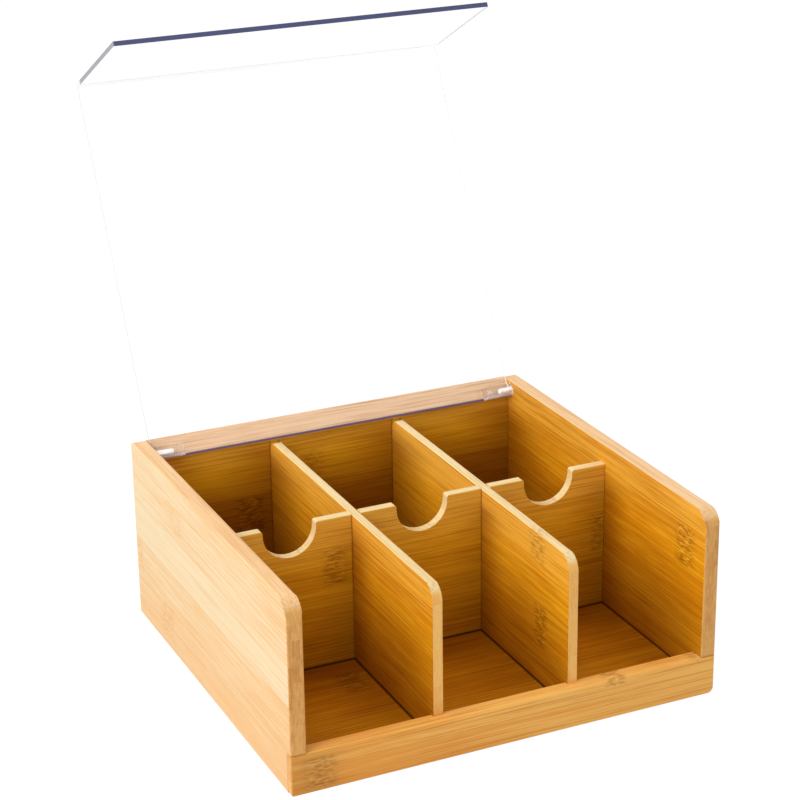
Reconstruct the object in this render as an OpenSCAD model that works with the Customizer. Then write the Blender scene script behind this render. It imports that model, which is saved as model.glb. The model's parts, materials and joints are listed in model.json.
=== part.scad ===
// Tea bag organizer box: bamboo case open at the front, egg-crate dividers and a bent clear lid.
// Origin: centre of the underside of the base. X runs to the right, Y to the rear, Z up.
// The lid is drawn closed, about its hinge pins, and then turned open, which is its rest pose.

/* [Case] */
// Width across the outside of the two sides
box_w = 255; // [225:1:290]
// Depth from the front faces to the rear face
box_d = 240.6; // [200:0.2:280]
// Height of the sides and the back
box_h = 111; // [100:1:130]
// Thickness of the sides and the back
wall_t = 9.2; // [7:0.1:10]
// Thickness of the bottom panel
floor_t = 9.6; // [6:0.2:12]
// Radius at the front top corner of each side
side_front_r = 10.5; // [4:0.5:20]
// Radius at the rear top corner of each side
side_rear_r = 3.5; // [2:0.5:8]
// Small radius along the long edges of the case
edge_r = 1; // [0.6:0.2:2]

/* [Front rail] */
// Height of the front rail
rail_h = 23.8; // [18:0.2:32]
// Thickness of the front rail
rail_t = 8.6; // [8:0.2:12]
// Thickness of the tongue that laps over the front of each side
rail_lap = 5.2; // [3:0.2:6]
// Radius at the lower left corner of the rail, seen from the front
rail_left_r = 2; // [1:0.5:8]
// Radius at the lower right corner of the rail, seen from the front
rail_right_r = 5; // [1:0.5:8]
// Radius along the top front edge of the rail
rail_edge_r = 2; // [1:0.2:3]

/* [Dividers] */
// Thickness of all three dividers
div_t = 5.6; // [4:0.2:7]
// Distance from the top of the case down to the top of the dividers
div_drop = 11.9; // [11:0.1:30]
// Distance from the front of the case to the front edge of the long dividers
div_inset = 6.1; // [5.4:0.1:7.5]
// Radius at the front top corner of the long dividers
div_front_r = 9.5; // [5:0.5:18]
// Radius at the rear top corner of the long dividers
div_rear_r = 6; // [3:0.5:9]
// Distance from the front of the case to the front face of the cross divider
cross_inset = 109.4; // [90:0.2:130]
// How far the cross divider stands above the long ones
cross_rise = 0.5; // [0:0.1:1]

/* [Finger notches] */
// Radius of the half-round bottom of each finger notch, which is half its width
notch_r = 15.8; // [13:0.1:19]
// Depth of each notch below the top of the divider
notch_depth = 18.8; // [16:0.1:22]
// Radius of the rounded lip at the top of each wall of a notch
notch_lip_r = 1.8; // [1:0.2:2.4]

/* [Lid] */
// Thickness of the clear sheet
lid_t = 2.8; // [2.4:0.1:3.2]
// Outer radius of the bend between the top and the front flap
lid_bend_r = 5; // [4:0.2:8]
// Distance of the closed flap behind the front of the case
lid_inset = 0.4; // [0:0.1:1.5]
// Gap between the closed flap and the top of the rail
lid_foot_gap = 0.6; // [0.2:0.1:3]
// Radius at the free corners of the flap
lid_corner_r = 0.8; // [0.4:0.2:8]
// Radius along the rear outer edge, which rolls past the back panel
lid_rear_r = 2; // [1.5:0.1:2.4]
// Lean of the open lid, back from upright
lid_lean = 27.4; // [26:0.2:32]

/* [Hinge] */
// Diameter of the two steel pins
pin_d = 4.4; // [3.6:0.2:4.8]
// Distance from the back panel to the pin axis
pin_back = 4.2; // [4:0.1:5]
// Distance from the top of the case to the pin axis
pin_drop = 5.4; // [5:0.1:6.4]
// Distance from the pin axis to the inner face of the lid
pin_to_lid = 3.1; // [2.9:0.1:3.3]
// Distance from the pin axis to the rear edge of the lid
pin_to_edge = 3.4; // [3.2:0.1:3.6]
// How far the left pin reaches into the case
pin_reach_left = 12.5; // [6:0.5:14]
// How far the right pin reaches into the case
pin_reach_right = 9; // [6:0.5:14]
// Length of each clear hinge block
block_len = 18; // [17:0.5:24]
// Size of each hinge block along the lid
block_h = 7.4; // [6.8:0.2:8.4]
// Thickness of each hinge block
block_t = 6.4; // [6:0.1:7]
// Depth of the blind bore in each hinge block
bore_depth = 14.6; // [14.2:0.1:15.4]
// Length of the wood plug that closes each pin hole on the outside
plug_len = 2.5; // [1.5:0.5:4]

/* [Fits] */
// Gap at the glued butt joints
joint_gap = 0.1; // [0.05:0.05:0.2]
// Gap on each side of a divider in its slot
slot_gap = 0.15; // [0.1:0.05:0.3]
// Gap above the tongue of the rail, under the notch in the side
notch_gap = 0.3; // [0.2:0.1:1]
// Gap at each side between the lid and the case
lid_side_gap = 0.5; // [0.4:0.1:1.2]
// Gap between the lid and each hinge block, for the film of cement that joins them
weld_gap = 0.05; // [0.02:0.01:0.1]
// Radial clearance of a pin in its hinge block
pin_clear = 0.05; // [0.03:0.01:0.08]
// Radial clearance of a pin or plug in the side of the case
pin_seat = 0.02; // [0.02:0.01:0.04]
// Gap left between the swinging rear edge of the lid and the bevel of the back panel
swing_gap = 0.25; // [0.2:0.05:0.4]

/* [Hidden] */
$fn = 64;

// Small radii and how far a cutter runs past a face
divider_edge_r = 0.8;
floor_edge_r = 0.6;
block_edge_r = 0.6;
pin_chamfer = 0.6;
drill_point_h = 1.3;
over = 1;

// Places of the case
half_w = box_w / 2;
inner_x = half_w - wall_t;
front_y = -box_d / 2;
rear_y = box_d / 2;
back_y = rear_y - wall_t;
rail_back_y = front_y + rail_t;
rail_lap_y = front_y + rail_lap;

// Places of the dividers: the two long ones share the inner width in three equal aisles
aisle_w = (2 * inner_x - 2 * div_t) / 3;
div_x = aisle_w / 2 + div_t / 2;
div_front_y = front_y + div_inset;
cross_y = front_y + cross_inset;
div_floor_z = floor_t + joint_gap;
div_top = box_h - div_drop;
cross_top = div_top + cross_rise;
lap_z = (div_floor_z + div_top) / 2;
notch_x = aisle_w + div_t;

// Places of the hinge and the lid, from the pin axis
pin_r = pin_d / 2;
pin_y = back_y - pin_back;
pin_z = box_h - pin_drop;
lid_w = 2 * (inner_x - lid_side_gap);
lid_out = pin_to_lid + lid_t;
lid_front = -(pin_y - front_y - lid_inset);
lid_foot = rail_h + lid_foot_gap - pin_z;
open_turn = 90 + lid_lean;

// The bevel of the back panel is parallel to the open lid and clears its swinging rear edge
lid_sweep_r = norm([lid_out - lid_rear_r, pin_to_edge - lid_rear_r]) + lid_rear_r;
bevel_out = lid_sweep_r + swing_gap;
bevel_low_z = pin_z + (pin_back * cos(lid_lean) - bevel_out) / sin(lid_lean);
bevel_top_y = pin_y + (bevel_out + pin_drop * sin(lid_lean)) / cos(lid_lean);

// The back panel is rounded like the sides, as far as its bevel leaves room
back_rear_r = min(side_rear_r, rear_y - bevel_top_y - edge_r / 2);

case_color = "burlywood";
divider_color = "tan";
clear_color = [0.75, 0.82, 0.95, 0.35];
steel_color = "silver";

// Removes one corner of a flat outline and leaves a round of radius r.
// inward points from the corner into the outline.
module corner_cut(at, inward, r) {
    if (r > 0)
        translate(at)
            mirror([inward[0] < 0 ? 1 : 0, 0, 0])
                mirror([0, inward[1] < 0 ? 1 : 0, 0])
                    difference() {
                        translate([-over, -over])
                            square(r + over);
                        translate([r, r])
                            circle(r);
                    }
}

// Rectangle from lo to hi with a radius at each corner:
// radii = [low left, low right, high right, high left].
module rounded_rect(lo, hi, radii) {
    difference() {
        translate(lo)
            square(hi - lo);
        corner_cut(lo, [1, 1], radii[0]);
        corner_cut([hi[0], lo[1]], [-1, 1], radii[1]);
        corner_cut(hi, [-1, -1], radii[2]);
        corner_cut([lo[0], hi[1]], [1, -1], radii[3]);
    }
}

// Extrudes a Y-Z outline from x0 to x1.
module along_x(x0, x1) {
    translate([x0, 0, 0])
        rotate([90, 0, 90])
            linear_extrude(x1 - x0)
                children();
}

// Extrudes an X-Z outline from y0 to y1.
module along_y(y0, y1) {
    translate([0, y1, 0])
        rotate([90, 0, 0])
            linear_extrude(y1 - y0)
                children();
}

// Extrudes an X-Y outline from z0 to z1.
module along_z(z0, z1) {
    translate([0, 0, z0])
        linear_extrude(z1 - z0)
            children();
}

// Solid round bar on the hinge axis from x0 to x1.
module axis_bar(x0, x1, r) {
    translate([x0, pin_y, pin_z])
        rotate([0, 90, 0])
            cylinder(h = x1 - x0, r = r);
}

// Side of the case, drawn on the right.
module side_board() {
    difference() {
        intersection() {
            along_x(inner_x, half_w)
                rounded_rect([front_y, 0], [rear_y, box_h], [0, edge_r, side_rear_r, side_front_r]);
            along_y(front_y - over, rear_y + over)
                rounded_rect([inner_x, 0], [half_w, box_h], [0, edge_r, edge_r, edge_r]);
            along_z(-over, box_h + over)
                rounded_rect([inner_x, front_y], [half_w, rear_y], [edge_r, edge_r, edge_r, 0]);
        }
        translate([inner_x - over, front_y - over, -over])
            cube([wall_t + 2 * over, rail_lap + over, rail_h + notch_gap + over]);
        axis_bar(inner_x - over, half_w + over, pin_r + pin_seat);
    }
}

module side_right() {
    color(case_color)
        side_board();
}

module side_left() {
    color(case_color)
        mirror([1, 0, 0])
            side_board();
}

// The back panel stands between the sides. Its bevelled inner top edge holds the open lid.
module back_panel() {
    color(case_color)
        along_x(-inner_x + joint_gap, inner_x - joint_gap)
            difference() {
                polygon([
                    [back_y, 0], [rear_y, 0], [rear_y, box_h],
                    [bevel_top_y, box_h], [back_y, bevel_low_z]
                ]);
                corner_cut([rear_y, 0], [-1, 1], edge_r);
                corner_cut([rear_y, box_h], [-1, -1], back_rear_r);
            }
}

// The rail runs the full width. Its ends lap over the sides and two slots hold the dividers.
module front_rail() {
    color(case_color)
        difference() {
            intersection() {
                along_x(-half_w, half_w)
                    rounded_rect([front_y, 0], [rail_back_y, rail_h],
                                 [edge_r, 0, floor_edge_r, rail_edge_r]);
                along_y(front_y - over, rail_back_y + over)
                    rounded_rect([-half_w, 0], [half_w, rail_h], [rail_left_r, rail_right_r, 0, 0]);
                along_z(-over, rail_h + over)
                    rounded_rect([-half_w, front_y], [half_w, rail_back_y], [edge_r, edge_r, 0, 0]);
            }
            for (s = [-1, 1]) {
                translate([s * (half_w + over + inner_x - joint_gap) / 2, rail_lap_y, -over])
                    translate([-(wall_t + joint_gap + over) / 2, 0, 0])
                        cube([wall_t + joint_gap + over, rail_t, rail_h + 2 * over]);
                translate([s * div_x - div_t / 2 - slot_gap, div_front_y - slot_gap, floor_t])
                    cube([div_t + 2 * slot_gap, rail_t, rail_h]);
            }
        }
}

// The bottom panel lies between the sides, the rail and the back, flush with their undersides.
module bottom_panel() {
    x_end = inner_x - joint_gap;
    y_end = back_y - joint_gap;
    y_start = rail_back_y + joint_gap;
    color(case_color)
        intersection() {
            along_x(-x_end, x_end)
                rounded_rect([y_start, 0], [y_end, floor_t], [0, 0, floor_edge_r, floor_edge_r]);
            along_y(y_start - over, y_end + over)
                rounded_rect([-x_end, 0], [x_end, floor_t], [0, 0, floor_edge_r, floor_edge_r]);
        }
}

// Long divider centred on x. Its slot opens downwards over the cross divider.
module long_divider(x) {
    y_end = back_y - joint_gap;
    color(divider_color)
        difference() {
            intersection() {
                along_x(x - div_t / 2, x + div_t / 2)
                    rounded_rect([div_front_y, div_floor_z], [y_end, div_top],
                                 [0, 0, div_rear_r, div_front_r]);
                along_y(div_front_y - over, y_end + over)
                    rounded_rect([x - div_t / 2, div_floor_z], [x + div_t / 2, div_top],
                                 [0, 0, divider_edge_r, divider_edge_r]);
            }
            translate([x - div_t / 2 - over, cross_y - slot_gap, div_floor_z - over])
                cube([div_t + 2 * over, div_t + 2 * slot_gap, lap_z - div_floor_z + over]);
        }
}

module divider_left() {
    long_divider(-div_x);
}

module divider_right() {
    long_divider(div_x);
}

// Outline of one finger notch, centred on x = 0 with the divider's top at z = 0:
// a half-round bottom, upright walls and a rounded lip at the top of each wall.
module finger_notch() {
    centre_z = notch_r - notch_depth;
    lip_x = notch_r + notch_lip_r;
    translate([0, centre_z])
        circle(notch_r);
    translate([-notch_r, centre_z])
        square([2 * notch_r, over - centre_z]);
    difference() {
        translate([-lip_x, -notch_lip_r])
            square([2 * lip_x, notch_lip_r + over]);
        for (s = [-1, 1])
            translate([s * lip_x, -notch_lip_r])
                circle(notch_lip_r);
    }
}

// The cross divider has a finger notch over each aisle and slots that open upwards.
module cross_divider() {
    x_end = inner_x - joint_gap;
    color(divider_color)
        difference() {
            intersection() {
                along_y(cross_y, cross_y + div_t)
                    difference() {
                        translate([-x_end, div_floor_z])
                            square([2 * x_end, cross_top - div_floor_z]);
                        for (i = [-1:1])
                            translate([i * notch_x, cross_top])
                                finger_notch();
                    }
                along_x(-x_end - over, x_end + over)
                    rounded_rect([cross_y, div_floor_z], [cross_y + div_t, cross_top],
                                 [0, 0, divider_edge_r, divider_edge_r]);
            }
            for (s = [-1, 1])
                translate([s * div_x - div_t / 2 - slot_gap, cross_y - over, lap_z - slot_gap])
                    cube([div_t + 2 * slot_gap, div_t + 2 * over, div_top]);
        }
}

// Turns what is drawn about the pin axis in the closed pose to its open rest pose.
module opened() {
    translate([0, pin_y, pin_z])
        rotate([-open_turn, 0, 0])
            children();
}

// One clear sheet: the flat top, a tight bend and the front flap.
module lid() {
    color(clear_color)
        opened()
            intersection() {
                along_x(-lid_w / 2, lid_w / 2)
                    difference() {
                        rounded_rect([lid_front, lid_foot], [pin_to_edge, lid_out],
                                     [0, 0, lid_rear_r, lid_bend_r]);
                        rounded_rect([lid_front + lid_t, lid_foot - over],
                                     [pin_to_edge + over, pin_to_lid],
                                     [0, 0, 0, lid_bend_r - lid_t]);
                    }
                along_y(lid_front - over, pin_to_edge + over)
                    rounded_rect([-lid_w / 2, lid_foot], [lid_w / 2, lid_out],
                                 [lid_corner_r, lid_corner_r, 0, 0]);
            }
}

// Hinge block on the right: a clear bar under the rear corner of the lid, bored for its pin.
module block_right() {
    x_out = lid_w / 2;
    x_in = x_out - block_len;
    bore_x = x_out - bore_depth;
    opened()
        difference() {
            along_x(x_in, x_out)
                rounded_rect([pin_to_edge - block_h, pin_to_lid - block_t],
                             [pin_to_edge, pin_to_lid - weld_gap],
                             [block_edge_r, block_edge_r, 0, 0]);
            translate([bore_x, 0, 0])
                rotate([0, 90, 0])
                    cylinder(h = bore_depth + over, r = pin_r + pin_clear);
            translate([bore_x - drill_point_h, 0, 0])
                rotate([0, 90, 0])
                    cylinder(h = drill_point_h, r1 = 0, r2 = pin_r + pin_clear);
        }
}

module hinge_block_right() {
    color(clear_color)
        block_right();
}

module hinge_block_left() {
    color(clear_color)
        mirror([1, 0, 0])
            block_right();
}

// Steel pin on the right, from the plug in the side to its end inside the hinge block.
module pin_right(reach) {
    x_in = inner_x - reach;
    x_out = half_w - plug_len;
    color(steel_color) {
        axis_bar(x_in + pin_chamfer, x_out, pin_r);
        translate([x_in, pin_y, pin_z])
            rotate([0, 90, 0])
                cylinder(h = pin_chamfer, r1 = pin_r - pin_chamfer, r2 = pin_r);
    }
}

module hinge_pin_right() {
    pin_right(pin_reach_right);
}

module hinge_pin_left() {
    mirror([1, 0, 0])
        pin_right(pin_reach_left);
}

// Wood plug that closes the outer end of a pin hole, flush with the side.
module pin_plug_right() {
    color(case_color)
        axis_bar(half_w - plug_len, half_w, pin_r);
}

module pin_plug_left() {
    mirror([1, 0, 0])
        pin_plug_right();
}

side_left();
side_right();
back_panel();
front_rail();
bottom_panel();
divider_left();
divider_right();
cross_divider();
lid();
hinge_block_left();
hinge_block_right();
hinge_pin_left();
hinge_pin_right();
pin_plug_left();
pin_plug_right();
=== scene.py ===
"""Looks of a tea bag organizer box: laminated bamboo, a bent clear lid and its steel hinge pins.

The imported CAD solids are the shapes. This script dresses each of them, and sets the studio and camera.
"""
import json
import logging
import math
from dataclasses import dataclass, field
from enum import Enum
from typing import Any, Optional, Union

import bpy
from mathutils import Euler, Matrix, Vector


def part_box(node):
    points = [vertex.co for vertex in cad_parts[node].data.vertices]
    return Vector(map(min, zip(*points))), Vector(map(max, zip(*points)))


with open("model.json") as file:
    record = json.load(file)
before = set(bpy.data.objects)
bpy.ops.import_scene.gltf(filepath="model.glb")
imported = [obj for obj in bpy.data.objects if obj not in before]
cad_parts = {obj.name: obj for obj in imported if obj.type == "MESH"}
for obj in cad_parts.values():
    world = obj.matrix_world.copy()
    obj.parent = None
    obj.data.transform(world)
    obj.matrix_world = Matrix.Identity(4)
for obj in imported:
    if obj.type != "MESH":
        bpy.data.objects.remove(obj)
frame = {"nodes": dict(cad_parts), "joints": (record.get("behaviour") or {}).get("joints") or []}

LOG = logging.getLogger("tea_box")
MM = 1000.0
FAR = 1000.0
SEAM_HALF = 0.15
STRIP_SHIFT = 900.0

Colour = tuple[float, float, float]
Place = tuple[float, float, float]
Socket = bpy.types.NodeSocket
Feed = Union[float, Colour, Socket]


class Axis(Enum):
    """A direction of the row frame, by its place in a vector."""

    X = 0
    Y = 1
    Z = 2


class Blend(Enum):
    """How one colour is laid over another."""

    COVER = "MIX"
    TINT = "MULTIPLY"


def linear(red: int, green: int, blue: int) -> Colour:
    """Turns a screen colour into the linear colour that a shader reads.

    Args:
        red: Red from 0 to 255.
        green: Green from 0 to 255.
        blue: Blue from 0 to 255.

    Returns:
        The same colour in linear light.
    """
    out = []
    for level in (red, green, blue):
        share = level / 255
        out.append(share / 12.92 if share <= 0.04045 else ((share + 0.055) / 1.055) ** 2.4)
    return out[0], out[1], out[2]


class Graph:
    """A material or world node tree with short ways to add to it."""

    def __init__(self, tree: bpy.types.NodeTree) -> None:
        """Takes over a tree and empties it.

        Args:
            tree: The node tree to build in.
        """
        self.tree = tree
        tree.nodes.clear()

    def feed(self, target: Socket, source: Feed) -> None:
        """Links a socket, or sets it to a constant.

        Args:
            target: The input to feed.
            source: A socket, a number or a colour.
        """
        if isinstance(source, bpy.types.NodeSocket):
            self.tree.links.new(source, target)
        elif isinstance(source, tuple) and target.type == "RGBA":
            target.default_value = (*source, 1.0)
        else:
            target.default_value = source

    def add(self, kind: str, settings: Optional[dict[str, Any]] = None, **inputs: Feed) -> bpy.types.Node:
        """Adds a node.

        Args:
            kind: The node's type name without its ShaderNode prefix.
            settings: Properties of the node itself.
            **inputs: Feeds by input name, with underscores for spaces.

        Returns:
            The new node.
        """
        made = self.tree.nodes.new("ShaderNode" + kind)
        for key, value in (settings or {}).items():
            setattr(made, key, value)
        for key, source in inputs.items():
            self.feed(made.inputs[key.replace("_", " ")], source)
        return made

    def math(self, operation: str, *terms: Feed) -> Socket:
        """Adds a Math node.

        Args:
            operation: Blender's name of the operation.
            *terms: Its operands.

        Returns:
            The result.
        """
        made = self.add("Math", {"operation": operation})
        for place, term in enumerate(terms):
            self.feed(made.inputs[place], term)
        return made.outputs[0]

    def total(self, *terms: Feed) -> Socket:
        """Adds up any number of values.

        Args:
            *terms: The values.

        Returns:
            Their sum.
        """
        result = terms[0]
        for term in terms[1:]:
            result = self.math("ADD", result, term)
        return result

    def most(self, *terms: Feed) -> Socket:
        """Gives the largest of any number of values.

        Args:
            *terms: The values.

        Returns:
            The largest of them.
        """
        result = terms[0]
        for term in terms[1:]:
            result = self.math("MAXIMUM", result, term)
        return result

    def swing(self, value: Feed, gain: float) -> Socket:
        """Turns a value about 0.5 into one about zero, with a gain."""
        return self.math("MULTIPLY_ADD", value, gain, -0.5 * gain)

    def scaled(self, value: Feed, gain: float) -> Socket:
        """Multiplies a value by a constant."""
        return self.math("MULTIPLY", value, gain)

    def ease(self, value: Feed, low: float, high: float, start: float = 0.0, end: float = 1.0) -> Socket:
        """Maps a range smoothly onto another.

        Args:
            value: What is mapped.
            low: Value that gives start.
            high: Value that gives end.
            start: Result at low.
            end: Result at high.

        Returns:
            The mapped value.
        """
        if low > high:
            low, high, start, end = high, low, end, start
        made = self.add("MapRange", {"interpolation_type": "SMOOTHSTEP"})
        for place, source in enumerate((value, low, high, start, end)):
            self.feed(made.inputs[place], source)
        return made.outputs[0]

    def vector(self, first: Feed, second: Feed, third: Feed = 0.0) -> Socket:
        """Joins three numbers into a vector."""
        return self.add("CombineXYZ", X=first, Y=second, Z=third).outputs[0]

    def noise(self, place: Socket, detail: float = 2.0, rough: float = 0.5, warp: float = 0.0) -> Socket:
        """Adds soft noise whose features are about one unit wide.

        Args:
            place: Where it is read.
            detail: Number of finer octaves.
            rough: Strength of the finer octaves.
            warp: How far it is warped.

        Returns:
            A value about 0.5.
        """
        made = self.add("TexNoise", Vector=place, Scale=1.0, Detail=detail, Roughness=rough,
                        Distortion=warp)
        return made.outputs["Fac"]

    def random(self, value: Feed) -> Socket:
        """Gives a steady random number from 0 to 1 for a value."""
        return self.add("TexWhiteNoise", {"noise_dimensions": "1D"}, W=value).outputs["Value"]

    def lay(self, share: Feed, base: Feed, over: Feed, blend: Blend = Blend.COVER) -> Socket:
        """Lays one colour over another.

        Args:
            share: How much of the upper colour shows.
            base: Lower colour.
            over: Upper colour.
            blend: How it is laid.

        Returns:
            The blended colour.
        """
        made = self.add("Mix", {"data_type": "RGBA", "blend_type": blend.value})
        self.feed(made.inputs[0], share)
        self.feed(made.inputs[6], base)
        self.feed(made.inputs[7], over)
        return made.outputs[2]

    def looked_at(self) -> Socket:
        """Tells a look from the camera, straight, mirrored or through the lid, from other light.

        Returns:
            1 for a look from the camera, and else 0.
        """
        path = self.add("LightPath").outputs
        return self.most(path["Is Camera Ray"], path["Is Glossy Ray"], path["Is Transmission Ray"])

    def close(self, shader: Socket) -> None:
        """Ends a material with its output node."""
        self.add("OutputMaterial", Surface=shader)


def new_material(name: str) -> tuple[bpy.types.Material, Graph]:
    """Makes an empty material.

    Args:
        name: The material's name.

    Returns:
        The material and its graph.
    """
    material = bpy.data.materials.new(name)
    material.use_nodes = True
    return material, Graph(material.node_tree)


@dataclass(frozen=True)
class Wood:
    """Colours of one kind of bamboo surface, from its palest fibres to its knuckles."""

    pale: Colour
    deep: Colour
    streak: Colour
    knuckle: Colour


# Lit and shaded copies of one bamboo: OUTSIDE, TOPS and BEVEL, and EDGES where it colours faces that look
# up, are painted light; the golden, amber and floor colours are painted shade, deeper and warmer inside
# the compartments.
OUTSIDE = Wood(linear(226, 202, 160), linear(225, 178, 118), linear(210, 154, 94), linear(204, 142, 84))
BEVEL = Wood(linear(233, 195, 152), linear(205, 151, 101), linear(174, 118, 74), linear(178, 120, 70))
FRONT = Wood(linear(250, 191, 99), linear(236, 160, 68), linear(188, 116, 42), linear(150, 86, 24))
GOLDEN_SHADED = Wood(linear(244, 180, 68), linear(214, 138, 30), linear(156, 84, 12), linear(124, 62, 10))
AMBER_SHADED = Wood(linear(248, 190, 74), linear(218, 154, 42), linear(178, 112, 22), linear(104, 50, 6))
FLOOR = Wood(linear(255, 186, 58), linear(222, 142, 28), linear(140, 74, 8), linear(104, 46, 4))
EDGES = Wood(linear(242, 217, 162), linear(226, 190, 130), linear(200, 152, 92), linear(198, 140, 78))
TOPS = Wood(linear(244, 202, 150), linear(230, 180, 124), linear(202, 146, 90), linear(198, 140, 78))
LIPS = Wood(linear(250, 198, 116), linear(240, 176, 94), linear(196, 130, 58), linear(176, 112, 50))
ENDS = Wood(linear(232, 176, 102), linear(202, 136, 70), linear(168, 104, 38), linear(168, 104, 38))


@dataclass(frozen=True)
class Grain:
    """Length and width of the fibres in mm, and how strongly each layer of them shows."""

    body: tuple[float, float] = (110.0, 1.1)
    fine: tuple[float, float] = (26.0, 0.6)
    dark: tuple[float, float] = (90.0, 0.7)
    cloud: tuple[float, float] = (83.33333, 16.66667)
    body_gain: float = 2.0
    fine_gain: float = 1.7
    dark_from: float = 0.57
    dark_full: float = 0.70
    dark_share: float = 0.46
    glue_line: tuple[float, float, float, float] = (0.5, 0.1, 0.0, 0.7)
    sway_length: float = 125.0
    sway_width: float = 50.0
    sway: float = 2.5


@dataclass(frozen=True)
class Dashes:
    """Brushed dashes in a knuckle: how many to the mm, how they end and how strongly they show."""

    along: float = 0.21
    across: float = 0.9
    through: float = 0.5
    ragged_across: float = 0.7
    ragged: float = 1.4
    reach: tuple[float, float] = (1.5, 0.5)
    side: tuple[float, float] = (1.0, 0.86)
    dark: tuple[float, float, float, float] = (0.43, 0.6, 0.14, 0.72)
    light: tuple[float, float, float, float] = (0.49, 0.36, 0.0, 0.55)


@dataclass(frozen=True)
class SawnEnd:
    """Plies and strips of a sawn end in mm, and its streaks and pores to the mm, through and across."""

    ply: float = 4.3
    strip: float = 24.0
    stagger: float = 0.37
    ply_step: float = 7.3
    streaks: tuple[float, float] = (0.9, 0.16)
    pores: tuple[float, float] = (2.2, 1.4)
    base_tone: float = 0.2
    block_share: float = 0.5
    streak_gain: float = 1.3
    pore_gain: float = 0.7


@dataclass(frozen=True)
class Satin:
    """The clear coat, and the relief of the grain in it."""

    rough: float = 0.36
    rough_grain: float = 0.16
    grain_height: float = 0.5
    line_height: float = -0.5
    dash_height: float = -0.6
    relief: float = 0.3
    relief_height: float = 0.0001
    coat_rough: float = 0.25


@dataclass(frozen=True)
class Knuckle:
    """A joint of the cane: a soft patch of brushed dashes that lies across one strip, in mm."""

    along: float
    across: float
    half_along: float
    half_across: float
    depth: float


@dataclass(frozen=True)
class Crease:
    """A band of painted shade where a board meets its neighbour, in mm along one direction."""

    axis: Axis
    place: float
    reach: float = 0.9
    depth: float = 0.35
    core: float = 0.3


@dataclass(frozen=True)
class Nook:
    """Where the painted shade deepens towards the next wall along one direction, in mm."""

    axis: Axis
    walls: tuple[float, ...]
    reach: float
    depth: float


@dataclass(frozen=True)
class Gloom:
    """How the painted shade deepens down a wall of a compartment, in mm above the ground."""

    nooks: tuple[Nook, ...] = ()
    start: float = 87.0
    foot: float = 4.0
    left: float = 0.25
    warm_start: float = 102.0
    warm_foot: float = 65.0
    nooks_above: float = 13.0
    nooks_below: float = 6.0


@dataclass(frozen=True)
class Cut:
    """How one board is glued up from strips, in mm and in the frame's directions."""

    along: Axis
    across: Axis
    seed: float
    seams: tuple[float, ...] = ()
    tones: tuple[float, ...] = (0.5,)
    knuckles: tuple[Knuckle, ...] = ()
    # creases and gloom place painted shade on the board.
    creases: tuple[Crease, ...] = ()
    gloom: Optional[Gloom] = None
    slope: float = 0.0

    @property
    def thick(self) -> Axis:
        """Gives the direction through the board."""
        return Axis(3 - self.along.value - self.across.value)


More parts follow.
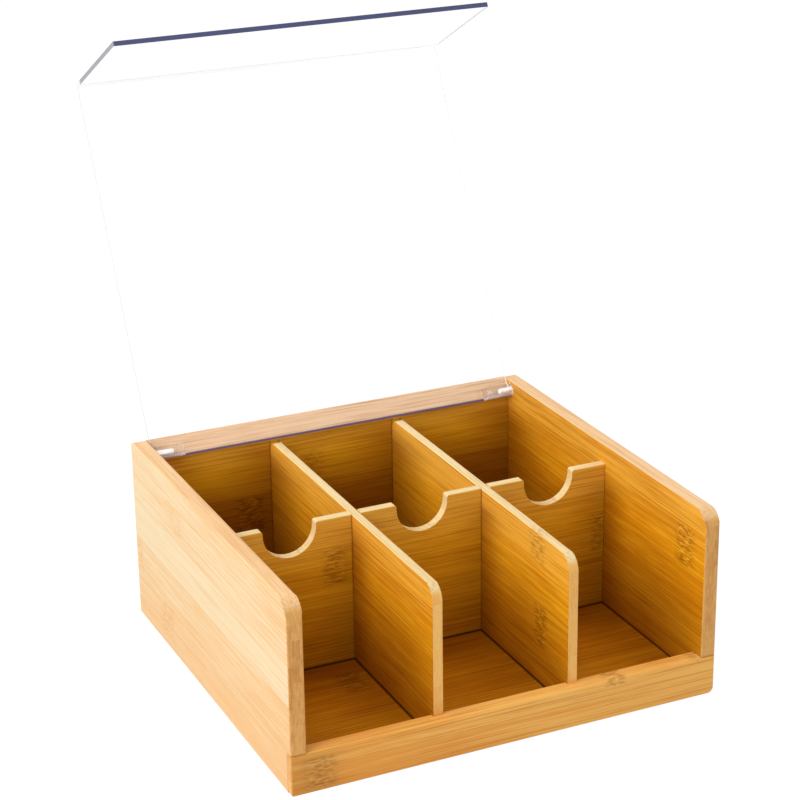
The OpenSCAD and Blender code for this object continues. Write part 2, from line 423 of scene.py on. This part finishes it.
@dataclass(frozen=True)
class Bamboo:
    """Laminated bamboo board under a satin clear coat."""

    name: str
    cut: Cut
    face: Wood
    # back and top are the colours of the outer face and of the faces that look up, painted light.
    back: Optional[Wood] = None
    back_way: float = 1.0
    top: Optional[Wood] = EDGES
    end: Wood = ENDS
    top_facing: tuple[float, float] = (0.42, 0.72)
    back_facing: tuple[float, float] = (-0.6, 0.6)
    end_facing: tuple[float, float] = (0.5, 0.8)
    grain: Grain = Grain()
    dashes: Dashes = Dashes()
    sawn: SawnEnd = SawnEnd()
    satin: Satin = Satin()
    gloss: float = 0.12
    coat: float = 0.0
    # The joint colour below is painted shade in the joints.
    crease_shade: Colour = linear(58, 16, 12)
    ripple: Colour = linear(255, 210, 118)
    # warm and shade tint the painted shade down the compartments.
    warm: Colour = (1.0, 0.95, 0.24)
    shade: Colour = (0.37, 0.27, 0.22)

    def _fibres(self, graph: Graph, at: dict[Axis, Socket]) -> tuple[Socket, Socket, Socket]:
        """Works out the tone of the strips and their fibres.

        Args:
            graph: The material's graph.
            at: Place on the board in mm, by axis.

        Returns:
            Tone from pale 0 to deep 1, share of dark fibre lines, and the fine grain.
        """
        cut, grain = self.cut, self.grain
        run, cross, depth = at[cut.along], at[cut.across], at[cut.thick]
        tone: Feed = cut.tones[0]
        index: Feed = cut.seed
        for seam, below, above in zip(cut.seams, cut.tones, cut.tones[1:]):
            step = graph.ease(cross, seam - SEAM_HALF, seam + SEAM_HALF)
            tone = graph.math("MULTIPLY_ADD", step, above - below, tone)
            index = graph.math("ADD", index, graph.math("ROUND", step))
        slide = graph.math("MULTIPLY_ADD", graph.random(index), STRIP_SHIFT, run)
        sway = graph.noise(graph.vector(graph.scaled(slide, 1 / grain.sway_length),
                                        graph.scaled(cross, 1 / grain.sway_width), index), 1.0)
        bent = graph.math("MULTIPLY_ADD", sway, grain.sway, cross)

        def fibre(size: tuple[float, float], detail: float, rough: float) -> Socket:
            """Adds one layer of fibres.

            Args:
                size: Their length and width in mm.
                detail: Number of finer octaves.
                rough: Strength of the finer octaves.

            Returns:
                A value about 0.5.
            """
            length, width = size
            place = graph.vector(graph.scaled(slide, 1 / length), graph.scaled(bent, 1 / width),
                                 graph.math("MULTIPLY_ADD", depth, 1 / width, index))
            return graph.noise(place, detail, rough)

        fine = fibre(grain.fine, 2.0, 0.6)
        cloud = graph.noise(graph.vector(graph.scaled(slide, 1 / grain.cloud[0]),
                                         graph.scaled(cross, 1 / grain.cloud[1]), index), 2.0)
        body = fibre(grain.body, 3.0, 0.65)
        tone = graph.total(tone, graph.swing(body, grain.body_gain), graph.swing(fine, grain.fine_gain),
                           graph.swing(cloud, 1.0), graph.scaled(run, cut.slope))
        lines = graph.ease(fibre(grain.dark, 1.0, 0.5), grain.dark_from, grain.dark_full)
        seams = []
        for seam in cut.seams:
            gap = graph.math("ABSOLUTE", graph.math("SUBTRACT", cross, seam))
            seams.append(graph.ease(gap, *grain.glue_line))
        return graph.ease(tone, 0.0, 1.0), graph.most(lines, *seams), fine

    def _knuckles(self, graph: Graph, at: dict[Axis, Socket]) -> tuple[Feed, Feed]:
        """Works out where the cane's joints show.

        Args:
            graph: The material's graph.
            at: Place on the board in mm, by axis.

        Returns:
            Share of dark dashes and share of pale ripples.
        """
        cut, style = self.cut, self.dashes
        if not cut.knuckles:
            return 0.0, 0.0
        run, cross = at[cut.along], at[cut.across]
        edge = graph.noise(graph.vector(cut.seed, graph.scaled(cross, style.ragged_across)), 3.0, 0.7)
        ragged = graph.swing(edge, style.ragged)
        patches = []
        for knuckle in cut.knuckles:
            off = graph.math("MULTIPLY_ADD", run, 1 / knuckle.half_along,
                             -knuckle.along / knuckle.half_along)
            side = graph.math("MULTIPLY_ADD", cross, 1 / knuckle.half_across,
                              -knuckle.across / knuckle.half_across)
            reach = graph.ease(graph.math("ABSOLUTE", graph.math("ADD", off, ragged)), *style.reach)
            within = graph.ease(graph.math("ABSOLUTE", side), *style.side, 0.0, knuckle.depth)
            patches.append(graph.math("MULTIPLY", reach, within))
        patch = graph.most(*patches)
        place = graph.vector(graph.scaled(run, style.along), graph.scaled(cross, style.across),
                             graph.scaled(at[cut.thick], style.through))
        dashes = graph.noise(place, 2.0, 0.6, 0.5)
        dark = graph.math("MULTIPLY", patch, graph.ease(dashes, *style.dark))
        light = graph.math("MULTIPLY", patch, graph.ease(dashes, *style.light))
        return dark, light

    def _paint(self, graph: Graph, wood: Wood, tone: Socket, lines: Socket, dark: Feed,
               light: Feed) -> Socket:
        """Colours one kind of surface.

        Args:
            graph: The material's graph.
            wood: Its colours.
            tone: Tone from pale 0 to deep 1.
            lines: Share of dark fibre lines.
            dark: Share of dark dashes of a knuckle.
            light: Share of pale ripples of a knuckle.

        Returns:
            The colour.
        """
        colour = graph.lay(tone, wood.pale, wood.deep)
        colour = graph.lay(graph.scaled(lines, self.grain.dark_share), colour, wood.streak)
        colour = graph.lay(dark, colour, wood.knuckle)
        return graph.lay(light, colour, self.ripple)

    def _paint_shade(self, graph: Graph, at: dict[Axis, Socket], colour: Socket) -> Socket:
        """Paints shade into a colour, deeper and warmer towards the bottom and the corners of the
        compartments.

        Args:
            graph: The material's graph.
            at: Place on the board in mm, by axis.
            colour: The colour in full light.

        Returns:
            The colour with its painted shade.
        """
        gloom = self.cut.gloom
        if not gloom:
            return colour
        height = at[Axis.Z]
        warmth = graph.ease(height, gloom.warm_start, gloom.warm_foot)
        colour = graph.lay(warmth, colour, self.warm, Blend.TINT)
        left = graph.ease(height, gloom.start, gloom.foot, 1.0, gloom.left)
        deeper = graph.ease(height, gloom.start + gloom.nooks_above, gloom.start - gloom.nooks_below)
        for nook in gloom.nooks:
            room: Feed = FAR
            for wall in nook.walls:
                gap = graph.math("SUBTRACT", wall, at[nook.axis])
                past = graph.math("LESS_THAN", gap, 0.0)
                room = graph.math("MINIMUM", room, graph.math("MULTIPLY_ADD", past, FAR, gap))
            dim = graph.math("MULTIPLY", deeper, graph.ease(room, nook.reach, 0.0, 0.0, nook.depth))
            left = graph.math("MULTIPLY", left, graph.math("SUBTRACT", 1.0, dim))
        return graph.lay(graph.math("SUBTRACT", 1.0, left), colour, self.shade, Blend.TINT)

    def _end_grain(self, graph: Graph, at: dict[Axis, Socket]) -> Socket:
        """Colours the sawn ends, where the plies and strips show as blocks with short streaks.

        Args:
            graph: The material's graph.
            at: Place on the board in mm, by axis.

        Returns:
            The colour.
        """
        cut, sawn = self.cut, self.sawn
        cross, depth = at[cut.across], at[cut.thick]
        ply = graph.math("FLOOR", graph.scaled(depth, 1 / sawn.ply))
        shifted = graph.math("MULTIPLY_ADD", cross, 1 / sawn.strip, graph.scaled(ply, sawn.stagger))
        row = graph.math("FLOOR", shifted)
        block = graph.random(graph.total(graph.scaled(ply, sawn.ply_step), row, cut.seed))
        through, over = sawn.streaks
        place = graph.vector(graph.scaled(depth, through), graph.scaled(cross, over), cut.seed)
        streaks = graph.noise(place, 3.0)
        through, over = sawn.pores
        pores = graph.noise(graph.vector(graph.scaled(depth, through), graph.scaled(cross, over)), 2.0)
        tone = graph.total(graph.scaled(block, sawn.block_share), graph.swing(streaks, sawn.streak_gain),
                           graph.swing(pores, sawn.pore_gain), sawn.base_tone)
        return graph.lay(graph.ease(tone, 0.0, 1.0), self.end.pale, self.end.deep)

    def _joint_shade(self, graph: Graph, at: dict[Axis, Socket]) -> Socket:
        """Works out the share of the painted shade in the joints, which ends at the dividers' top.

        Args:
            graph: The material's graph.
            at: Place on the board in mm, by axis.

        Returns:
            Share of the painted joint shade.
        """
        near = []
        for crease_shade in self.cut.creases:
            gap = graph.math("ABSOLUTE", graph.math("SUBTRACT", at[crease_shade.axis], crease_shade.place))
            near.append(graph.ease(gap, crease_shade.reach, crease_shade.core * crease_shade.reach, 0.0, crease_shade.depth))
        tops = span("cross_divider", Axis.Z)[1]
        return graph.math("MULTIPLY", graph.most(*near), graph.ease(at[Axis.Z], tops, tops - 1.0))

    def build(self) -> bpy.types.Material:
        """Builds the finish.

        Returns:
            The material.
        """
        material, graph = new_material(self.name)
        cut = self.cut
        read = graph.add("TexCoord")
        place = graph.add("SeparateXYZ", Vector=read.outputs["Object"])
        facing = graph.add("SeparateXYZ", Vector=read.outputs["Normal"]).outputs
        at = {axis: graph.scaled(place.outputs[axis.value], MM) for axis in Axis}
        tone, lines, fine = self._fibres(graph, at)
        dark, light = self._knuckles(graph, at)
        marks = (tone, lines, dark, light)

        # The face's colour, with painted shade down the walls and into the corners of the compartments.
        colour = self._paint_shade(graph, at, self._paint(graph, self.face, *marks))
        # The outer face takes the back's colours, painted light.
        front = graph.ease(graph.scaled(facing[cut.thick.value], -self.back_way), *self.back_facing)
        if self.back:
            colour = graph.lay(front, colour, self._paint(graph, self.back, *marks))
        # Painted shade in the joints between boards, kept off the outer face.
        if cut.creases:
            near = self._joint_shade(graph, at)
            if self.back:
                near = graph.math("MULTIPLY", near, graph.math("SUBTRACT", 1.0, front))
            colour = graph.lay(near, colour, self.crease_shade)
        ends = graph.ease(graph.math("ABSOLUTE", facing[cut.along.value]), *self.end_facing)
        colour = graph.lay(ends, colour, self._end_grain(graph, at))
        # Faces that look up take the top's colours, painted light.
        if self.top:
            up = graph.ease(facing[Axis.Z.value], *self.top_facing)
            colour = graph.lay(up, colour, self._paint(graph, self.top, *marks))

        satin = self.satin
        rough = graph.math("MULTIPLY_ADD", fine, satin.rough_grain, satin.rough)
        height = graph.total(graph.scaled(fine, satin.grain_height),
                             graph.scaled(lines, satin.line_height),
                             graph.scaled(dark, satin.dash_height))
        relief = graph.add("Bump", Strength=satin.relief, Distance=satin.relief_height, Height=height)
        shader = graph.add("BsdfPrincipled", Base_Color=colour, Roughness=rough,
                           Normal=relief.outputs[0], Specular_IOR_Level=self.gloss,
                           Coat_Weight=self.coat, Coat_Roughness=satin.coat_rough)
        graph.close(shader.outputs[0])
        return material


@dataclass(frozen=True)
class Acrylic:
    """Clear polished sheet whose cut edges are painted with the blue-violet and grey reflections they
    show.
    """

    name: str
    face: Colour = (0.99, 0.992, 1.0)
    # flank, flap, edge and tip are painted reflections in the cut edges.
    flank: Colour = linear(226, 228, 240)
    flap: Colour = linear(134, 134, 142)
    edge: Colour = linear(104, 78, 108)
    tip: Colour = linear(68, 76, 120)
    edge_opacity: float = 0.9
    foot_gap: float = 0.6
    rear_reach: float = 3.4
    flank_facing: tuple[float, float] = (0.6, 0.95)
    edge_blend: tuple[float, float] = (1.7, 1.1)
    flap_blend: tuple[float, float] = (-1.0, -4.0)
    tip_blend: tuple[float, float] = (0.5, 0.2)
    haze: float = 0.02
    haze_size: float = 0.025
    shadow: Colour = (0.95, 0.955, 0.97)
    index: float = 1.49

    def build(self) -> bpy.types.Material:
        """Builds the finish.

        Returns:
            The material.
        """
        hinge = frame["joints"][0]
        pin = Vector(hinge["pos_m"])
        turn = Euler((math.radians(hinge["range_deg"][1]), 0.0, 0.0))
        tip_low = (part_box("front_rail")[1][2] - pin.z) * MM + self.foot_gap

        material, graph = new_material(self.name)
        read = graph.add("TexCoord")
        closed = graph.add("Mapping", Vector=read.outputs["Object"])
        closed.inputs["Rotation"].default_value = turn
        closed.inputs["Location"].default_value = -(turn.to_matrix() @ pin)
        place = graph.add("SeparateXYZ", Vector=closed.outputs[0])
        run = graph.scaled(place.outputs[1], MM)
        rise = graph.scaled(place.outputs[2], MM)
        facing = graph.add("SeparateXYZ", Vector=read.outputs["Normal"]).outputs

        # Painted reflections: the side edges, the rear edge and the free tip take their colours and turn
        # partly opaque.
        flank = graph.ease(graph.math("ABSOLUTE", facing[0]), *self.flank_facing)
        side = graph.lay(graph.ease(rise, *self.flap_blend), self.flank, self.flap)
        edge = graph.ease(run, *(self.rear_reach - near for near in self.edge_blend))
        tip = graph.ease(rise, *(tip_low + above for above in self.tip_blend))
        colour = graph.lay(flank, self.face, side)
        colour = graph.lay(tip, graph.lay(edge, colour, self.edge), self.tip)
        clarity = graph.math("MULTIPLY_ADD", graph.most(flank, edge, tip), -self.edge_opacity, 1.0)

        spread = graph.add("Mapping", Vector=read.outputs["Object"])
        spread.inputs["Scale"].default_value = (1 / self.haze_size,) * 3
        rough = graph.ease(graph.noise(spread.outputs[0], 2.0), 0.3, 0.8, 0.0, self.haze)
        sheet = graph.add("BsdfPrincipled", Base_Color=colour, Roughness=rough,
                          Transmission_Weight=clarity, IOR=self.index)
        clear = graph.add("BsdfTransparent", Color=self.shadow)
        path = graph.add("LightPath")
        pick = graph.add("MixShader")
        graph.feed(pick.inputs[0], path.outputs["Is Shadow Ray"])
        graph.feed(pick.inputs[1], sheet.outputs[0])
        graph.feed(pick.inputs[2], clear.outputs[0])
        graph.close(pick.outputs[0])
        return material


@dataclass(frozen=True)
class TurnedSteel:
    """Bright steel rod with fine turning marks round its axis."""

    name: str
    bright: Colour = (0.98, 0.94, 0.89)
    dull: Colour = (0.84, 0.76, 0.70)
    metal: float = 0.6
    rings_per_mm: float = 6.0
    stains_per_metre: float = 300.0
    stained: tuple[float, float] = (0.35, 0.75)
    rough: float = 0.28
    rough_rings: float = 0.14
    relief: float = 0.3
    relief_height: float = 0.00003

    def build(self) -> bpy.types.Material:
        """Builds the finish.

        Returns:
            The material.
        """
        material, graph = new_material(self.name)
        read = graph.add("TexCoord")
        place = graph.add("SeparateXYZ", Vector=read.outputs["Object"])
        rings = graph.noise(graph.vector(graph.scaled(place.outputs[0], self.rings_per_mm * MM), 0.0),
                            3.0, 0.7)
        blotch = graph.add("Mapping", Vector=read.outputs["Object"])
        blotch.inputs["Scale"].default_value = (self.stains_per_metre,) * 3
        stain = graph.noise(blotch.outputs[0], 3.0)
        colour = graph.lay(graph.ease(stain, *self.stained), self.bright, self.dull)
        rough = graph.math("MULTIPLY_ADD", rings, self.rough_rings, self.rough)
        relief = graph.add("Bump", Strength=self.relief, Distance=self.relief_height, Height=rings)
        shader = graph.add("BsdfPrincipled", Base_Color=colour, Roughness=rough,
                           Metallic=self.metal, Normal=relief.outputs[0])
        graph.close(shader.outputs[0])
        return material


def dress(node: str, material: bpy.types.Material) -> None:
    """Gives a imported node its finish.

    Args:
        node: The node's name.
        material: The finish.
    """
    mesh = frame["nodes"][node].data
    mesh.materials.clear()
    mesh.materials.append(material)
    low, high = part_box(node)
    sizes = ", ".join(f"{(b - a) * MM:.1f}" for a, b in zip(low, high))
    LOG.info("%s dressed in %s, %s mm", node, material.name, sizes)


def span(node: str, axis: Axis) -> tuple[float, float]:
    """Gives where a node starts and ends along an axis.

    Args:
        node: The node's name.
        axis: The axis.

    Returns:
        Its start and its end in mm.
    """
    low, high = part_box(node)
    return low[axis.value] * MM, high[axis.value] * MM


@dataclass(frozen=True)
class Inside:
    """Where the sides start, the joints between the boards where shade is painted, and the walls whose
    shade is painted in the compartments.
    """

    front: float
    floor: Crease
    cross: tuple[Crease, ...]
    uprights: tuple[Crease, ...]
    rear: Crease
    behind: tuple[Nook, ...]
    beside: Nook

    @classmethod
    def measure(cls) -> "Inside":
        """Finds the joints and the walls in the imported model.

        Returns:
            What the boards round the compartments share.
        """
        cross_front, cross_rear = span("cross_divider", Axis.Y)
        back_front = span("back_panel", Axis.Y)[0]
        uprights = (*span("divider_left", Axis.X), *span("divider_right", Axis.X))
        walls = (uprights[0], uprights[2], span("side_right", Axis.X)[0])
        return cls(
            front=span("side_left", Axis.Y)[0],
            floor=Crease(Axis.Z, span("bottom_panel", Axis.Z)[1], 1.4, 0.8),
            cross=(Crease(Axis.Y, cross_front), Crease(Axis.Y, cross_rear)),
            uprights=tuple(Crease(Axis.X, edge) for edge in uprights),
            rear=Crease(Axis.Y, back_front),
            behind=(Nook(Axis.Y, (cross_front,), 34.0, 0.75), Nook(Axis.Y, (back_front,), 64.0, 0.85)),
            beside=Nook(Axis.X, walls, 42.0, 0.6),
        )


@dataclass
class Case:
    """The bamboo case, with where its strips are glued in mm: up the walls, and back from the front."""

    inside: Inside = field(default_factory=Inside.measure)
    left_seams: tuple[float, ...] = (27.0, 52.0, 76.5, 101.0)
    right_seams: tuple[float, ...] = (22.0, 47.0, 69.0, 97.0)
    back_seams: tuple[float, ...] = (41.0, 66.0, 90.0)
    rail_seams: tuple[float, ...] = (14.4,)
    bottom_seams: tuple[float, ...] = (22.0, 46.0, 71.0, 96.0)

    def side_left(self) -> Bamboo:
        """Gives the left side's finish, with painted light that makes it pale outside.

        Returns:
            The finish, ready to build.
        """
        inside = self.inside
        cut = Cut(Axis.Y, Axis.Z, 3.0, self.left_seams, (0.80, 0.62, 0.02, 0.42, 0.36),
                  (Knuckle(inside.front + 189.0, 17.0, 10.0, 12.0, 0.5),
                   Knuckle(inside.front + 167.0, 90.0, 12.0, 10.0, 0.3),
                   Knuckle(inside.front + 236.0, 40.0, 8.0, 11.0, 0.45)),
                  gloom=Gloom(inside.behind), slope=-0.0016)
        return Bamboo("bamboo_side_left", cut, GOLDEN_SHADED, OUTSIDE, 1.0, TOPS, coat=0.1)

    def side_right(self) -> Bamboo:
        """Gives the right side's finish, with the knuckle that shows near its front.

        Returns:
            The finish, ready to build.
        """
        inside = self.inside
        cut = Cut(Axis.Y, Axis.Z, 11.0, self.right_seams, (0.4, 0.45, 0.7, 0.6, 0.35),
                  (Knuckle(inside.front + 20.0, 83.5, 8.5, 12.5, 0.75),
                   Knuckle(inside.front + 150.0, 35.0, 8.0, 12.0, 0.4)),
                  (inside.floor, *inside.cross, inside.rear),
                  Gloom(inside.behind, left=0.3, warm_start=114.0, warm_foot=74.0))
        return Bamboo("bamboo_side_right", cut, GOLDEN_SHADED, OUTSIDE, -1.0, TOPS, coat=0.1)

    def back_panel(self) -> Bamboo:
        """Gives the back's finish, with painted light that makes its bevel for the lid paler.

        Returns:
            The finish, ready to build.
        """
        inside = self.inside
        cut = Cut(Axis.X, Axis.Z, 5.0, self.back_seams, (0.5, 0.5, 0.35, 0.3),
                  (Knuckle(-57.0, 53.5, 9.0, 12.0, 0.75), Knuckle(-18.0, 78.0, 8.0, 11.0, 0.4)),
                  (inside.floor, *inside.uprights),
                  Gloom((inside.beside,), 94.0, 49.0, 0.0, 108.0, 80.0))
        return Bamboo("bamboo_back", cut, AMBER_SHADED, OUTSIDE, -1.0, BEVEL, top_facing=(0.15, 0.4))

    def front_rail(self) -> Bamboo:
        """Gives the rail's finish, with painted shade that darkens it towards its left end.

        Returns:
            The finish, ready to build.
        """
        # Painted shade: a band over the left 40 mm and the slope of the tone darken the rail towards its
        # left end.
        shade = Crease(Axis.X, span("front_rail", Axis.X)[0], 40.0, 0.21)
        cut = Cut(Axis.X, Axis.Z, 8.0, self.rail_seams, (0.55, 0.35),
                  (Knuckle(-111.0, 11.0, 8.0, 9.5, 0.6), Knuckle(64.0, 24.0, 6.0, 5.0, 0.6),
                   Knuckle(116.0, 26.0, 4.0, 4.0, 0.5)), (shade,), slope=-0.002)
        return Bamboo("bamboo_rail", cut, FRONT, top=FRONT, coat=0.1)

    def bottom_panel(self) -> Bamboo:
        """Gives the floor's finish, with painted shade that is darkest along the walls.

        Returns:
            The finish, ready to build.
        """
        inside = self.inside
        # Painted shade along the feet of the walls.
        feet = tuple(Crease(line.axis, line.place, 1.5, 0.85)
                     for line in (*inside.cross, *inside.uprights, inside.rear))
        before_cross = Nook(Axis.Y, inside.behind[0].walls, 42.0, 0.93)
        cut = Cut(Axis.X, Axis.Y, 14.0, tuple(inside.front + seam for seam in self.bottom_seams),
                  (0.5, 0.4, 0.6, 0.55, 0.5),
                  (Knuckle(-56.0, inside.front + 84.0, 7.0, 12.0, 0.6),), feet,
                  Gloom((before_cross, inside.behind[1], inside.beside), left=0.56))
        return Bamboo("bamboo_bottom", cut, FLOOR, top=None)

    def plug(self, side: str) -> Bamboo:
        """Gives the finish of one side's pin plug."""
        return Bamboo("bamboo_plug_" + side, Cut(Axis.X, Axis.Z, 17.0), OUTSIDE, end=OUTSIDE)

    def dress(self) -> None:
        """Gives every board of the case its own cut of bamboo."""
        boards = {
            "side_left": self.side_left(),
            "side_right": self.side_right(),
            "back_panel": self.back_panel(),
            "front_rail": self.front_rail(),
            "bottom_panel": self.bottom_panel(),
            "pin_plug_left": self.plug("left"),
            "pin_plug_right": self.plug("right"),
        }
        for node, finish in boards.items():
            dress(node, finish.build())


@dataclass
class EggCrate:
    """The three crossed dividers, with the heights in mm where their strips are glued."""

    inside: Inside = field(default_factory=Inside.measure)
    seams: tuple[float, ...] = (33.0, 58.0, 82.0)

    def divider_left(self) -> Bamboo:
        """Gives the left long divider's finish.

        Returns:
            The finish, ready to build.
        """
        inside = self.inside
        cut = Cut(Axis.Y, Axis.Z, 23.0, self.seams, (0.5, 0.45, 0.4, 0.35),
                  (Knuckle(inside.front + 150.0, 71.0, 8.0, 12.0, 0.5),),
                  (inside.floor, *inside.cross, inside.rear), Gloom(inside.behind, left=0.28), -0.0012)
        return Bamboo("bamboo_divider_left", cut, GOLDEN_SHADED, end=LIPS)

    def divider_right(self) -> Bamboo:
        """Gives the right long divider's finish, with two knuckles near its front.

        Returns:
            The finish, ready to build.
        """
        inside = self.inside
        cut = Cut(Axis.Y, Axis.Z, 29.0, self.seams, (0.45, 0.4, 0.35, 0.1),
                  (Knuckle(inside.front + 42.0, 92.0, 8.0, 10.5, 0.55),
                   Knuckle(inside.front + 38.0, 44.5, 7.0, 13.0, 0.75)),
                  (inside.floor, *inside.cross, inside.rear),
                  Gloom(inside.behind, left=0.34, warm_start=98.0), -0.0012)
        return Bamboo("bamboo_divider_right", cut, GOLDEN_SHADED, end=LIPS)

    def cross_divider(self) -> Bamboo:
        """Gives the notched divider's finish, with a pale cut all round its notches.

        Returns:
            The finish, ready to build.
        """
        inside = self.inside
        walls = inside.beside.walls
        cut = Cut(Axis.X, Axis.Z, 31.0, self.seams, (0.5, 0.45, 0.45, 0.3),
                  (Knuckle(-54.0, 70.0, 6.5, 12.0, 0.6), Knuckle(114.0, 57.0, 4.0, 13.0, 0.5)),
                  (inside.floor, *inside.uprights),
                  Gloom((Nook(Axis.X, walls, 30.0, 0.3), Nook(Axis.X, walls[-1:], 40.0, 0.25)),
                        left=0.62, warm_start=98.0))
        return Bamboo("bamboo_cross_divider", cut, AMBER_SHADED, end=EDGES)

    def dress(self) -> None:
        """Gives each divider its own cut of bamboo."""
        dress("divider_left", self.divider_left().build())
        dress("divider_right", self.divider_right().build())
        dress("cross_divider", self.cross_divider().build())


@dataclass
class Lid:
    """The bent clear lid with its two hinge blocks and the pins they turn on."""

    sheet: Acrylic = field(default_factory=lambda: Acrylic("acrylic_sheet"))
    # The blocks' faces and edges take painted reflections too.
    block: Acrylic = field(default_factory=lambda: Acrylic(
        "acrylic_block", flank=(0.72, 0.56, 0.46), flap=(0.72, 0.56, 0.46), edge=(0.92, 0.86, 0.86),
        tip=(0.93, 0.9, 0.92), edge_opacity=0.35, index=1.12))
    pin: TurnedSteel = field(default_factory=lambda: TurnedSteel("steel_pin"))

    def dress(self) -> None:
        """Gives the sheet, the blocks and the pins their finishes."""
        dress("lid", self.sheet.build())
        clear = self.block.build()
        steel = self.pin.build()
        for side in ("left", "right"):
            dress("hinge_block_" + side, clear)
            dress("hinge_pin_" + side, steel)


@dataclass
class Studio:
    """White floor and sky, one soft lamp and the camera at the photograph's viewing angle."""

    sky_low: float = 0.44
    sky_high: float = 0.95
    sky_rise: tuple[float, float] = (-0.2, 1.0)
    front_share: float = 0.5
    front_turn: tuple[float, float] = (-0.85, -0.1)
    floor_size: float = 8.0
    floor_drop: float = 0.0002
    floor_grey: float = 0.86
    floor_glow: float = 0.85
    floor_white: float = 1.09
    azimuth: float = 24.664
    elevation: float = 21.071
    roll: float = -0.806
    lens: float = 100.85
    sensor: float = 36.0
    stand: Place = (-0.49353, -1.058, 0.60618)
    key_place: Place = (-1.25, -0.35, 1.05)
    key_aim: Place = (0.0, 0.0, 0.05)
    key_size: float = 1.2
    key_power: float = 17.5

    def world(self) -> None:
        """Lights the scene from all round and shows white to the camera, to gloss and through the lid."""
        world = bpy.data.worlds.new("studio_sky")
        world.use_nodes = True
        bpy.context.scene.world = world
        graph = Graph(world.node_tree)
        seen = graph.looked_at()
        way = graph.add("SeparateXYZ", Vector=graph.add("TexCoord").outputs["Generated"])
        sky = graph.ease(way.outputs[2], *self.sky_rise, self.sky_low, self.sky_high)
        dimmed = graph.ease(way.outputs[1], *self.front_turn, self.front_share, 1.0)
        sky = graph.math("MULTIPLY", sky, dimmed)
        lift = graph.math("MULTIPLY", seen, graph.math("SUBTRACT", 1.0, sky))
        light = graph.add("Background", Color=(1.0, 1.0, 1.0), Strength=graph.math("ADD", sky, lift))
        graph.add("OutputWorld", Surface=light.outputs[0])

    def floor(self) -> None:
        """Lays the floor, which looks white and keeps a soft shadow."""
        bpy.ops.mesh.primitive_plane_add(size=self.floor_size, location=(0.0, 0.0, -self.floor_drop))
        floor = bpy.context.object
        floor.name = "studio_floor"
        material, graph = new_material("studio_floor")
        seen = graph.looked_at()
        matte = graph.add("BsdfDiffuse", Color=(self.floor_grey,) * 3)
        glow = graph.add("Emission", Color=(1.0, 1.0, 1.0), Strength=self.floor_white)
        pick = graph.add("MixShader")
        graph.feed(pick.inputs[0], graph.scaled(seen, self.floor_glow))
        graph.feed(pick.inputs[1], matte.outputs[0])
        graph.feed(pick.inputs[2], glow.outputs[0])
        graph.close(pick.outputs[0])
        floor.data.materials.append(material)

    def softbox(self) -> None:
        """Hangs the square soft lamp on the left."""
        data = bpy.data.lights.new("key_softbox", "AREA")
        data.shape = "SQUARE"
        data.size = self.key_size
        data.energy = self.key_power
        lamp = bpy.data.objects.new("key_softbox", data)
        way = Vector(self.key_aim) - Vector(self.key_place)
        turned = way.to_track_quat("-Z", "Y").to_matrix().to_4x4()
        lamp.matrix_world = Matrix.Translation(self.key_place) @ turned
        bpy.context.collection.objects.link(lamp)

    def camera(self) -> None:
        """Sets the camera where the photograph was taken from."""
        turn, rise, tilt = (math.radians(v) for v in (self.azimuth, self.elevation, self.roll))
        ahead = Vector((math.sin(turn) * math.cos(rise), math.cos(turn) * math.cos(rise),
                        -math.sin(rise)))
        right = Vector((math.cos(turn), -math.sin(turn), 0.0))
        above = right.cross(ahead)
        level = math.cos(tilt) * right + math.sin(tilt) * above
        upright = -math.sin(tilt) * right + math.cos(tilt) * above
        data = bpy.data.cameras.new("camera")
        data.lens = self.lens
        data.sensor_width = self.sensor
        camera = bpy.data.objects.new("camera", data)
        bpy.context.collection.objects.link(camera)
        turned = Matrix((level, upright, -ahead)).transposed().to_4x4()
        camera.matrix_world = Matrix.Translation(self.stand) @ turned
        bpy.context.scene.camera = camera

    def build(self) -> None:
        """Builds the whole studio."""
        bpy.context.scene.view_settings.view_transform = "Standard"
        self.world()
        self.floor()
        self.softbox()
        self.camera()


def main() -> None:
    """Builds the looks in order."""
    logging.basicConfig(level=logging.INFO, format="%(message)s")
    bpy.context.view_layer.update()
    for part in (Case(), EggCrate(), Lid()):
        part.dress()
    Studio().build()


if __name__ == "__main__":
    main()
